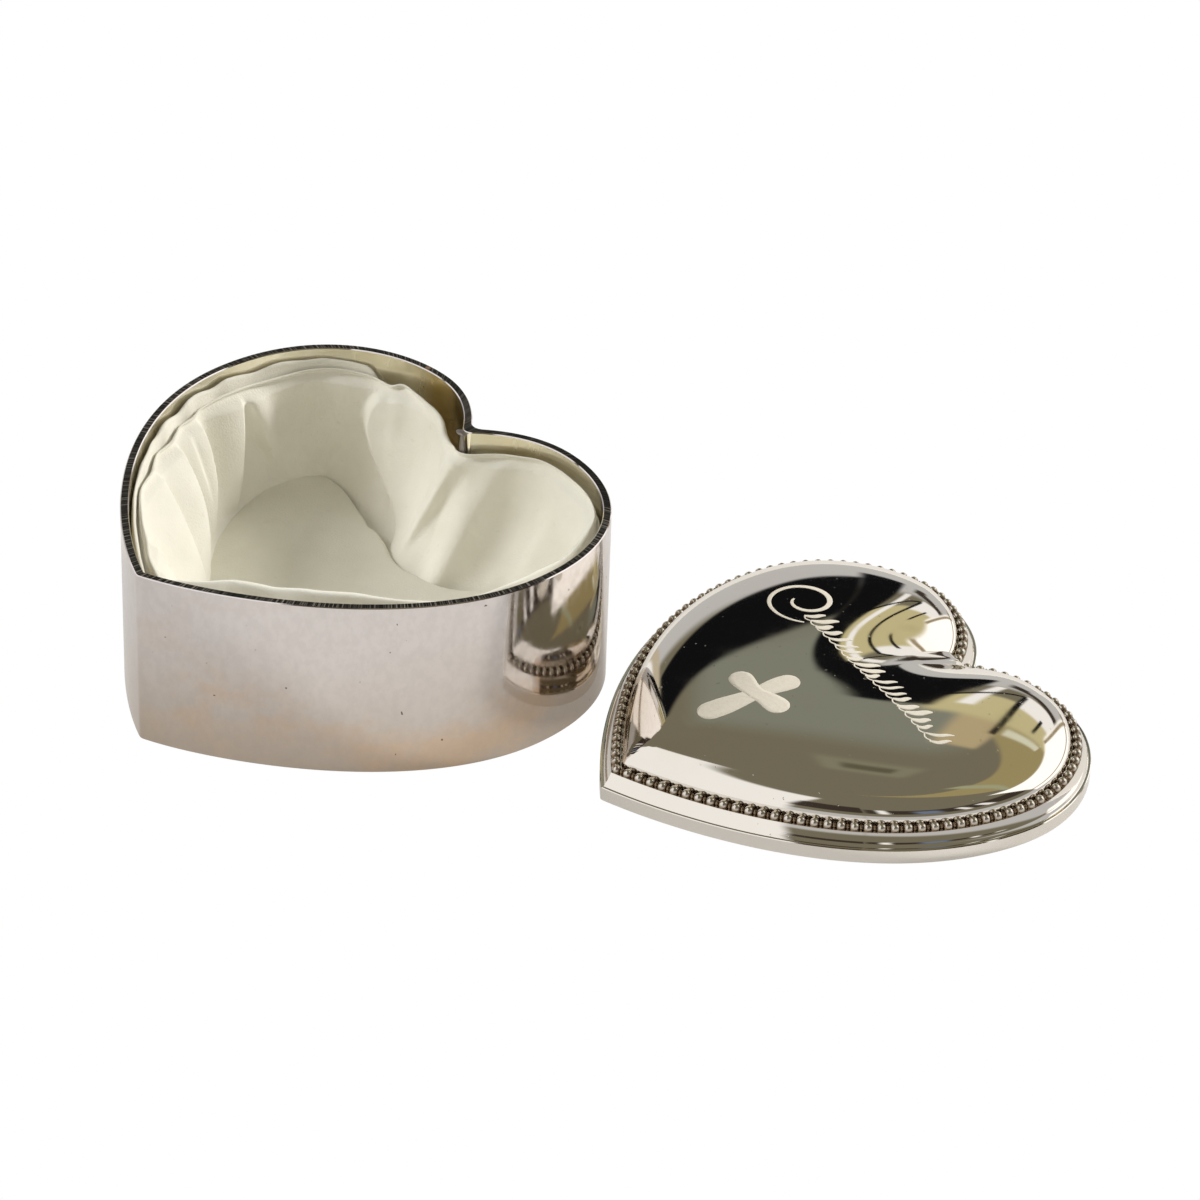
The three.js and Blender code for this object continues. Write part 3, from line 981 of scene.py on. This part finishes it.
def round_curve(knots):
    """A smooth closed curve of values round the heart through (place, value) knots."""
    places = np.array([knot[0] for knot in knots])
    values = np.array([knot[1] for knot in knots])
    places = np.r_[places - 1, places, places + 1]
    values = np.tile(values, 3)
    rough = np.interp(ROUND, places, values)
    kernel = np.hanning(2 * CURVE_SOFTNESS + 1)
    kernel /= kernel.sum()
    padded = np.r_[rough[-CURVE_SOFTNESS:], rough, rough[:CURVE_SOFTNESS]]
    return np.convolve(padded, kernel, "valid")


# The lining's run round the wall, as (place, millimetres) pairs. Places go from the tip at 0 up the
# near side to the cleft at 0.5 and back down the far side to 1.
HEM_HEIGHTS = (
    (0.0, 31.2), (0.03, 32.0), (0.05, 32.9), (0.08, 32.3), (0.1, 33.0), (0.14, 32.4), (0.2, 31.4),
    (0.3, 31.8), (0.36, 32.2), (0.42, 32.2), (0.44, 31.8), (0.455, 31.0), (0.47, 30.6),
    (0.49, 30.4), (0.51, 30.2), (0.56, 30.4), (0.605, 30.6), (0.613, 29.6), (0.65, 30.6),
    (0.75, 30.4), (0.82, 29.8), (0.9, 30.4),
)
HEM_INSETS = (
    (0.0, 5.0), (0.04, 7.2), (0.09, 7.6), (0.14, 7.2), (0.2, 5.2), (0.28, 6.2), (0.32, 4.8),
    (0.36, 2.9), (0.4, 2.7), (0.44, 2.8), (0.455, 3.2), (0.47, 3.0), (0.485, 3.4), (0.505, 3.0),
    (0.517, 4.6), (0.535, 5.8), (0.575, 5.8), (0.59, 4.8), (0.603, 3.4), (0.611, 4.8), (0.626, 3.4),
    (0.646, 3.0), (0.661, 3.2), (0.687, 3.9), (0.726, 4.2), (0.75, 4.2), (0.767, 3.8), (0.778, 4.6),
    (0.792, 3.8), (0.812, 5.0), (0.83, 3.4), (0.855, 4.4), (0.88, 3.2), (0.93, 4.4),
)
FOOT_INSETS = (
    (0.0, 13.0), (0.1, 11.0), (0.2, 11.0), (0.3, 12.0), (0.36, 12.5), (0.4, 14.0), (0.434, 15.0),
    (0.469, 13.5), (0.496, 12.6), (0.517, 13.6), (0.554, 15.2), (0.59, 17.0), (0.62, 18.0),
    (0.637, 14.5), (0.65, 8.0), (0.662, 4.0), (0.68, 4.0), (0.711, 5.2), (0.741, 7.4), (0.776, 9.8),
    (0.822, 11.6), (0.854, 12.2), (0.93, 12.8),
)
WALL_ROWS = 90

# Folds of the wall: their edge's place at the hem, half way down and at the foot, their spread on
# either side of it towards lower and higher places, and their inset at those three heights
FOLDS = (
    (0.985, 0.980, 0.975, 0.008, 0.020, 5.8, 10.0, 15.0),
    (0.945, 0.950, 0.945, 0.006, 0.030, 5.6, 11.2, 15.0),
    (0.850, 0.866, 0.885, 0.003, 0.050, 4.8, 10.6, 14.0),
    (0.810, 0.821, 0.852, 0.003, 0.040, 5.6, 11.6, 13.4),
    (0.793, 0.791, 0.792, 0.003, 0.018, 4.4, 7.8, 9.6),
    (0.777, 0.778, 0.800, 0.003, 0.024, 5.6, 9.2, 11.0),
    (0.733, 0.740, 0.755, 0.004, 0.026, 5.4, 8.4, 9.0),
    (0.722, 0.706, 0.695, 0.012, 0.009, 5.2, 6.6, 6.0),
    (0.650, 0.652, 0.655, 0.016, 0.016, 3.8, 4.8, 5.0),
    (0.612, 0.624, 0.545, 0.050, 0.003, 4.8, 9.4, 16.0),
    (0.500, 0.522, 0.548, 0.008, 0.030, 4.2, 8.4, 15.0),
    (0.466, 0.476, 0.476, 0.010, 0.018, 3.9, 7.6, 14.8),
    (0.400, 0.408, 0.404, 0.022, 0.018, 3.6, 7.2, 14.8),
    (0.360, 0.360, 0.360, 0.014, 0.018, 3.8, 7.0, 14.0),
    (0.290, 0.290, 0.290, 0.024, 0.030, 6.5, 8.0, 13.0),
    (0.215, 0.210, 0.210, 0.024, 0.024, 6.0, 8.0, 12.5),
    (0.140, 0.135, 0.135, 0.024, 0.024, 7.6, 9.0, 12.5),
    (0.070, 0.070, 0.070, 0.020, 0.024, 7.4, 9.0, 13.5),
)
# Where the back layer's fluffy hem shows behind the front one, and how deep the groove between is
GROOVE_DEPTHS = (
    (0.0, 1.2), (0.1, 0.4), (0.45, 0.3), (0.59, 0.4), (0.615, 1.6), (0.735, 1.6), (0.748, 4.0),
    (0.76, 1.8), (0.775, 1.6), (0.787, 4.6), (0.80, 2.0), (0.812, 2.2), (0.822, 5.6), (0.834, 2.6),
    (0.87, 1.8), (0.9, 1.6),
)
BACK_HEIGHTS = (
    (0.0, 31.0), (0.3, 31.0), (0.37, 30.0), (0.42, 28.0), (0.46, 26.0), (0.5, 22.5), (0.603, 22.5),
    (0.618, 27.0), (0.628, 31.4), (0.66, 32.0), (0.7, 32.2), (0.8, 32.5), (0.85, 32.2), (0.9, 31.4),
)
FOLD_ROUNDNESS = 2.2
# How hollow the wall's curve is, and where its foot ends. Down the far side it flattens into the pad.
WALL_HOLLOWS = ((0.0, 2.3), (0.6, 2.3), (0.64, 2.6), (0.67, 3.4), (0.9, 3.2), (0.97, 2.3))
FOOT_HEIGHTS = ((0.0, 4.5), (0.62, 4.5), (0.66, 7.4), (0.68, 8.0), (0.9, 8.0), (0.96, 5.0))
FOOT_REACH = ((0.0, 0.0), (0.62, 0.0), (0.67, 2.0), (0.9, 1.6), (0.97, 0.0))


def three_way(share, top, middle, foot):
    """A smooth value down the wall through three heights."""
    ends = top * (1 - share) * (1 - 2 * share) + foot * share * (2 * share - 1)
    return ends + 4 * middle * share * (1 - share)


def folded(share, inset):
    """The cloth's inset at one height once the folds stand out from it, for each column."""
    for top, middle, foot, before, after, top_inset, middle_inset, foot_inset in FOLDS:
        edge = three_way(share, top, middle, foot)
        away = (ROUND - edge + 0.5) % 1 - 0.5
        spread = np.where(away < 0, before, after)
        ridge = np.exp(-np.abs(away / spread) ** FOLD_ROUNDNESS)
        crest = three_way(share, top_inset, middle_inset, foot_inset)
        inset = np.maximum(inset, inset + (crest - inset) * ridge)
    return inset


def unevenness(places, height, size, amount, seed):
    """Soft lumps of a given size for each point of a ring."""
    heights = np.broadcast_to(np.asarray(height, float), (len(places),))
    return np.array([
        noise.noise(Vector((across / size, along / size, level / size + seed)))
        for (across, along), level in zip(places, heights)
    ]) * amount


# The rolls' sections: the share of the way from the metal to the front, and the height over the hem
BACK_ROLL = ((0.0, -8.0), (0.0, -1.2), (0.04, -0.4), (0.14, -0.05), (0.26, -0.1), (0.36, -0.6))
FRONT_ROLL = ((0.62, -1.3), (0.66, -0.55), (0.74, -0.1), (0.86, 0.0), (0.95, -0.25))
# The groove between them: its sides, how far pinches move them, and how a deep groove gapes
GROOVE_BACK = 0.44
GROOVE_FRONT = 0.52
PINCH_SHIFT = 0.1
GAPE_FROM = 2.0
GAPE_RANGE = 3.0
GAPE_WIDTH = 0.1
GAPE_DROP = 0.25
HEM_TURN = 0.7
LEAST_HEM = 1.3
CLOTH = 0.4
# The cloth's lumps: their size, their height and a seed
HEM_LUMPS = (14, 0.7, 5)
HEM_WAVES = (9, 0.5, 9)
BACK_LUMPS = (7, 0.9, 21)
PINCHES = (8, 0.7, 33)
WALL_LUMPS = (22, 1.2, 0)
WALL_DIMPLES = (8, 0.3, 3)
PAD_LUMPS = (16, 0.9, 50)


def make_lining():
    wall_ring = slide(np.full(LINING_COUNT, LINING_BACK))
    hem_height = round_curve(HEM_HEIGHTS) + unevenness(wall_ring, 0, *HEM_LUMPS)
    hem_inset = round_curve(HEM_INSETS) + unevenness(wall_ring, 0, *HEM_WAVES)
    foot_inset = round_curve(FOOT_INSETS) + round_curve(FOOT_REACH)
    foot_height = round_curve(FOOT_HEIGHTS)
    hollow = round_curve(WALL_HOLLOWS)
    groove = round_curve(GROOVE_DEPTHS)
    gaping = np.maximum(groove - GAPE_FROM, 0)
    back_height = round_curve(BACK_HEIGHTS) + unevenness(wall_ring, 0, *BACK_LUMPS) - GAPE_DROP * gaping
    pinch = PINCH_SHIFT * unevenness(wall_ring, 0, *PINCHES)
    front = np.maximum(hem_inset, LINING_BACK + LEAST_HEM)
    gap = front - LINING_BACK
    rings = []
    for share, drop in BACK_ROLL:
        rings.append(lift(slide(LINING_BACK + gap * share), back_height + drop))
    groove_floor = np.minimum(back_height - 0.7, hem_height - 0.8) - groove
    gape = np.clip(gaping / GAPE_RANGE, 0, 1) * GAPE_WIDTH
    rings.append(lift(slide(LINING_BACK + gap * (GROOVE_BACK + pinch - gape)), groove_floor + 0.25))
    rings.append(lift(slide(LINING_BACK + gap * (GROOVE_FRONT + pinch + gape)), groove_floor))
    for share, drop in FRONT_ROLL:
        mixed = np.maximum(groove_floor + 0.3, hem_height + drop)
        rings.append(lift(slide(LINING_BACK + gap * share), mixed))
    for row in range(WALL_ROWS + 1):
        share = row / WALL_ROWS
        top = hem_height - HEM_TURN
        height = top - (top - foot_height) * share
        start = float(smooth_step(np.array(share), 0.0, 0.08))
        plain = front + (foot_inset - front) * share ** hollow
        inset = front + (folded(share, plain) - front) * start - 0.6 * (1 - start)
        inset = inset + unevenness(wall_ring, height, *WALL_LUMPS) * start
        inset = inset + unevenness(wall_ring, height, *WALL_DIMPLES) * start
        rings.append(lift(slide(np.clip(inset, LINING_BACK + CLOTH, INSET_MOST - 1)), height))
    vertices, faces = loft(rings)
    return new_mesh("gathered_lining", vertices, faces, (front_cloth,))


lining = make_lining()
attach(lining, "root")
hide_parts("lining_wall")


GATHERING = 1.15
TURNED_HEM = 8.0


def lining_flat_size():
    """The strip that the wall was gathered from."""
    length = line_lengths(heart_ring(BOX_HALF, -LINING_BACK, LINING_STEPS))[-1] * GATHERING
    height = BOX_HEIGHT + TURNED_HEM
    return height * MM, length * MM


lining_flat_size()


PAD_FOOT = BASE + CLOTH
PAD_EDGE_HEIGHT = 6.6
PAD_CROWN = 1.6
PAD_CROWN_REACH = 24.0
PAD_ROWS = 44
PAD_ROW_CROWDING = 1.4
PAD_SMOOTH_ROWS = 8
PAD_MIDDLE = (1.0, -3.0)
PAD_TUCK = 1.4
PAD_EDGE_RADIUS = 2.6


def make_pad():
    """The floor's padded heart. Its edge is tucked under the foot of the gathered wall."""
    edge_inset = round_curve(FOOT_INSETS) - PAD_TUCK
    outer = slide(np.clip(edge_inset, LINING_BACK + 2 * CLOTH, INSET_MOST - 1))
    middle = np.array(PAD_MIDDLE)
    reach = np.linalg.norm(outer - middle, axis=1)
    rings = [lift(outer, PAD_FOOT)]
    for row in range(PAD_ROWS):
        inward = (row / PAD_ROWS) ** PAD_ROW_CROWDING
        ring = middle + (outer - middle) * (1 - inward)
        from_edge = reach * inward
        edge = np.sqrt(1 - (1 - np.clip(from_edge / PAD_EDGE_RADIUS, 0, 1)) ** 2)
        crown = np.sin(np.clip(from_edge / PAD_CROWN_REACH, 0, 1) * math.pi / 2)
        ripple = unevenness(ring, 0, *PAD_LUMPS) * min(1.0, row / PAD_SMOOTH_ROWS)
        rings.append(lift(ring, PAD_FOOT + PAD_EDGE_HEIGHT * edge + PAD_CROWN * crown + ripple))
    top = PAD_FOOT + PAD_EDGE_HEIGHT + PAD_CROWN
    vertices, faces = loft(rings, (*PAD_MIDDLE, PAD_FOOT), (*PAD_MIDDLE, top))
    return new_mesh("floor_pad", vertices, faces, (pad_cloth,))


pad = make_pad()
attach(pad, "root")
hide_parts("lining_pad")


# The floor, the light round the object and the camera

FLOOR_HALF = 900.0
FLOOR_HEIGHT = -0.05
FLOOR_COLOUR = colour(0.44, 0.43, 0.42)
FLOOR_GLOW_COLOUR = colour(0.98, 0.96, 0.94)
FLOOR_GLOW = 0.38
PLAIN_WHITE = colour(1, 1, 1)


def ahead_and_right():
    ahead = Vector((-math.sin(VIEW_AZIMUTH), math.cos(VIEW_AZIMUTH), 0))
    right = Vector((math.cos(VIEW_AZIMUTH), math.sin(VIEW_AZIMUTH), 0))
    return ahead, right


def make_floor():
    """White where the camera sees it, and a pale lit floor to the metal's mirror."""
    material, tree, surface = empty_material("pale_floor")
    seen = tree.node("ShaderNodeLightPath").outputs["Is Camera Ray"]
    plain = tree.emission(PLAIN_WHITE, 1.0)
    glow = tree.emission(FLOOR_GLOW_COLOUR, FLOOR_GLOW)
    around = tree.node("ShaderNodeBsdfDiffuse")
    around.inputs["Color"].default_value = FLOOR_COLOUR
    lit = tree.node("ShaderNodeAddShader")
    tree.join(around.outputs[0], lit.inputs[0])
    tree.join(glow, lit.inputs[1])
    both = tree.node("ShaderNodeMixShader")
    tree.join(seen, both.inputs[0])
    tree.join(lit.outputs[0], both.inputs[1])
    tree.join(plain, both.inputs[2])
    tree.join(both.outputs[0], surface)
    sides = ((-1, -1), (1, -1), (1, 1), (-1, 1))
    corners = [(across * FLOOR_HALF, along * FLOOR_HALF, FLOOR_HEIGHT) for across, along in sides]
    floor = new_mesh("pale_floor", corners, [(0, 1, 2, 3)], (material,))


# The room that the dome mirrors. Each row is a patch of it: the middle in degrees right of straight
# ahead, half its width, its lowest and highest degree, how much its lower and upper edges climb for
# each degree to the right, the softness of its edges, and its colour.
WHITE = colour(1.0, 0.99, 0.98)
BRIGHT = colour(1.35, 1.33, 1.30)
BLACK = colour(0.006, 0.006, 0.007)
DARK_BROWN = colour(0.050, 0.038, 0.030)
LIT_BROWN = colour(0.36, 0.30, 0.145)
PANELS = (
    (0, 181, -40, 17, 0.0, 0.0, 2.5, colour(0.56, 0.555, 0.55)),
    (3, 14, 28, 49, 0.0, 0.0, 4.0, colour(0.235, 0.245, 0.20)),
    (47, 31, 36, 64, 0.0, 0.85, 1.0, LIT_BROWN),
    (62, 18, 59, 63, -0.3, -0.3, 1.2, colour(0.38, 0.39, 0.25)),
    (16.5, 3, 28, 46, 0.0, 0.0, 0.8, colour(0.50, 0.41, 0.24)),
    (24, 14, 27, 36.5, 0.0, 0.0, 1.0, colour(0.60, 0.54, 0.30)),
    (27, 6.5, 37.2, 39.4, 0.0, 0.0, 0.5, colour(0.72, 0.72, 0.56)),
    (10, 9, 57, 64, 0.0, 0.0, 1.5, colour(0.24, 0.23, 0.16)),
    (10, 5, 59, 62, 0.0, 0.0, 1.0, colour(0.12, 0.11, 0.07)),
    (-7, 13, 17.5, 30.5, -0.42, -0.25, 0.8, BLACK),
    (8.0, 2.5, 8, 35.0, 0.0, 0.0, 0.6, BLACK),
    (-104, 54, -5, 72, 0.0, 0.0, 2.0, WHITE),
    (-70, 6, 30, 50, 0.6, 0.6, 1.5, DARK_BROWN),
    (-27, 5, -5, 34, 0.0, 0.0, 1.0, WHITE),
    (-21.5, 1.2, -5, 34, 0.0, 0.0, 0.6, colour(0.56, 0.49, 0.37)),
    (13, 0.9, 17, 33, 0.0, 0.0, 0.5, WHITE),
    (25, 6, 20, 29.5, 0.2, 0.1, 0.8, WHITE),
    (15.5, 2.0, 9, 14, 0.0, 0.0, 1.0, DARK_BROWN),
    (23, 8, 14.5, 18.5, 0.5, 0.5, 0.8, DARK_BROWN),
    (62, 31, -2, 46, 0.42, 0.42, 1.2, BRIGHT),
    (62, 34, 12, 15, 0.3, 0.3, 1.5, colour(0.30, 0.24, 0.17)),
    (33, 1.0, 0, 34, 0.0, 0.0, 0.6, colour(0.36, 0.29, 0.18)),
    (19, 0.6, 21, 40, 0.0, 0.0, 0.3, BLACK),
    (12.5, 6.5, 25.2, 26.6, -0.85, -0.85, 0.3, BLACK),
    (26, 0.6, 28, 34.5, 0.0, 0.0, 0.3, BLACK),
    (136, 43, 32, 50, 0.0, 0.0, 2.0, DARK_BROWN),
    (-170, 13, 32, 56, 0.0, 0.0, 2.0, DARK_BROWN),
    (122, 2.5, 32, 46, 0.0, 0.0, 1.5, WHITE),
    (134, 2, 32, 46, 0.0, 0.0, 1.5, WHITE),
    (152, 6, 32, 46, 0.0, 0.0, 3.0, colour(0.17, 0.21, 0.30)),
    (172, 2, 32, 50, 0.0, 0.0, 1.5, WHITE),
)
ROOM_COLOUR = colour(0.190, 0.172, 0.120)
SOFT_LIGHT = colour(0.38, 0.365, 0.325)
BELOW_COLOUR = colour(0.62, 0.6, 0.58)


def make_world():
    world = bpy.data.worlds.new("studio")
    bpy.context.scene.world = world
    world.use_nodes = True
    tree = Tree(world.node_tree)
    direction = tree.node("ShaderNodeTexCoord").outputs["Generated"]
    ahead, right = ahead_and_right()

    def along(axis):
        made = tree.node("ShaderNodeVectorMath", operation="DOT_PRODUCT")
        tree.join(direction, made.inputs[0])
        made.inputs[1].default_value = axis
        return made.outputs["Value"]

    turn = tree.math("ARCTAN2", along(right), along(ahead))
    turn = tree.math("MULTIPLY", turn, math.degrees(1))
    rise = tree.math("MULTIPLY", tree.math("ARCSINE", along((0, 0, 1))), math.degrees(1))
    lit = ROOM_COLOUR
    for middle, half, low, high, low_climb, high_climb, soft, tone in PANELS:
        left_edge = tree.ramp(turn, middle - half - soft, middle - half + soft)
        right_edge = tree.ramp(turn, middle + half - soft, middle + half + soft, 1.0, 0.0)
        from_middle = tree.math("SUBTRACT", turn, middle)
        above_low = tree.math("SUBTRACT", rise, tree.math("MULTIPLY", from_middle, low_climb))
        above_high = tree.math("SUBTRACT", rise, tree.math("MULTIPLY", from_middle, high_climb))
        low_edge = tree.ramp(above_low, low - soft, low + soft)
        high_edge = tree.ramp(above_high, high - soft, high + soft, 1.0, 0.0)
        mask = tree.math("MULTIPLY", tree.math("MULTIPLY", left_edge, right_edge),
                         tree.math("MULTIPLY", low_edge, high_edge))
        lit = tree.mix(mask, lit, tone)
    below = tree.ramp(rise, -4, 0, 1.0, 0.0)
    lit = tree.mix(below, lit, BELOW_COLOUR)
    paths = tree.node("ShaderNodeLightPath")
    lit = tree.mix(paths.outputs["Is Diffuse Ray"], lit, SOFT_LIGHT)
    lit = tree.mix(paths.outputs["Is Camera Ray"], lit, PLAIN_WHITE)
    background = tree.node("ShaderNodeBackground")
    tree.join(lit, background.inputs["Color"])
    output = tree.node("ShaderNodeOutputWorld")
    tree.join(background.outputs[0], output.inputs["Surface"])


def make_camera():
    back = Vector((
        math.sin(VIEW_AZIMUTH) * math.cos(VIEW_ELEVATION),
        -math.cos(VIEW_AZIMUTH) * math.cos(VIEW_ELEVATION),
        math.sin(VIEW_ELEVATION),
    ))
    data = bpy.data.cameras.new("photo_camera")
    data.lens = VIEW_LENS
    data.sensor_width = 36.0
    data.clip_start = 0.05
    data.clip_end = 20.0
    camera = bpy.data.objects.new("photo_camera", data)
    bpy.context.scene.collection.objects.link(camera)
    aim = back.to_track_quat("Z", "Y").to_matrix().to_4x4()
    place = Vector(VIEW_TARGET) * MM + back * VIEW_DISTANCE * MM
    camera.matrix_world = Matrix.Translation(place) @ aim @ Matrix.Rotation(VIEW_ROLL, 4, "Z")
    bpy.context.scene.camera = camera


# The soft lights: millimetres to the right, ahead and up, power and tint
LIGHT_SIZE = 260
LIGHTS = {
    "right_window": (700, 400, 430, 7.2, (1.0, 0.985, 0.95)),
    "left_window": (-760, 60, 520, 4.2, (0.98, 0.985, 1.0)),
}


def make_light(name, place, power, tint):
    """A soft light that falls on the cloth but isn't mirrored in the metal."""
    data = bpy.data.lights.new(name, "AREA")
    data.shape = "DISK"
    data.size = LIGHT_SIZE * MM
    data.energy = power
    data.color = tint
    light = bpy.data.objects.new(name, data)
    aim = place.to_track_quat("Z", "Y").to_matrix().to_4x4()
    light.matrix_world = Matrix.Translation(place * MM) @ aim
    light.visible_glossy = False
    light.visible_camera = False
    bpy.context.scene.collection.objects.link(light)


make_floor()
make_world()
make_camera()
ahead_way, right_way = ahead_and_right()
for name, (to_right, to_front, up, power, tint) in LIGHTS.items():
    make_light(name, right_way * to_right + ahead_way * to_front + Vector((0, 0, up)), power, tint)
bpy.context.scene.view_settings.view_transform = "Standard"
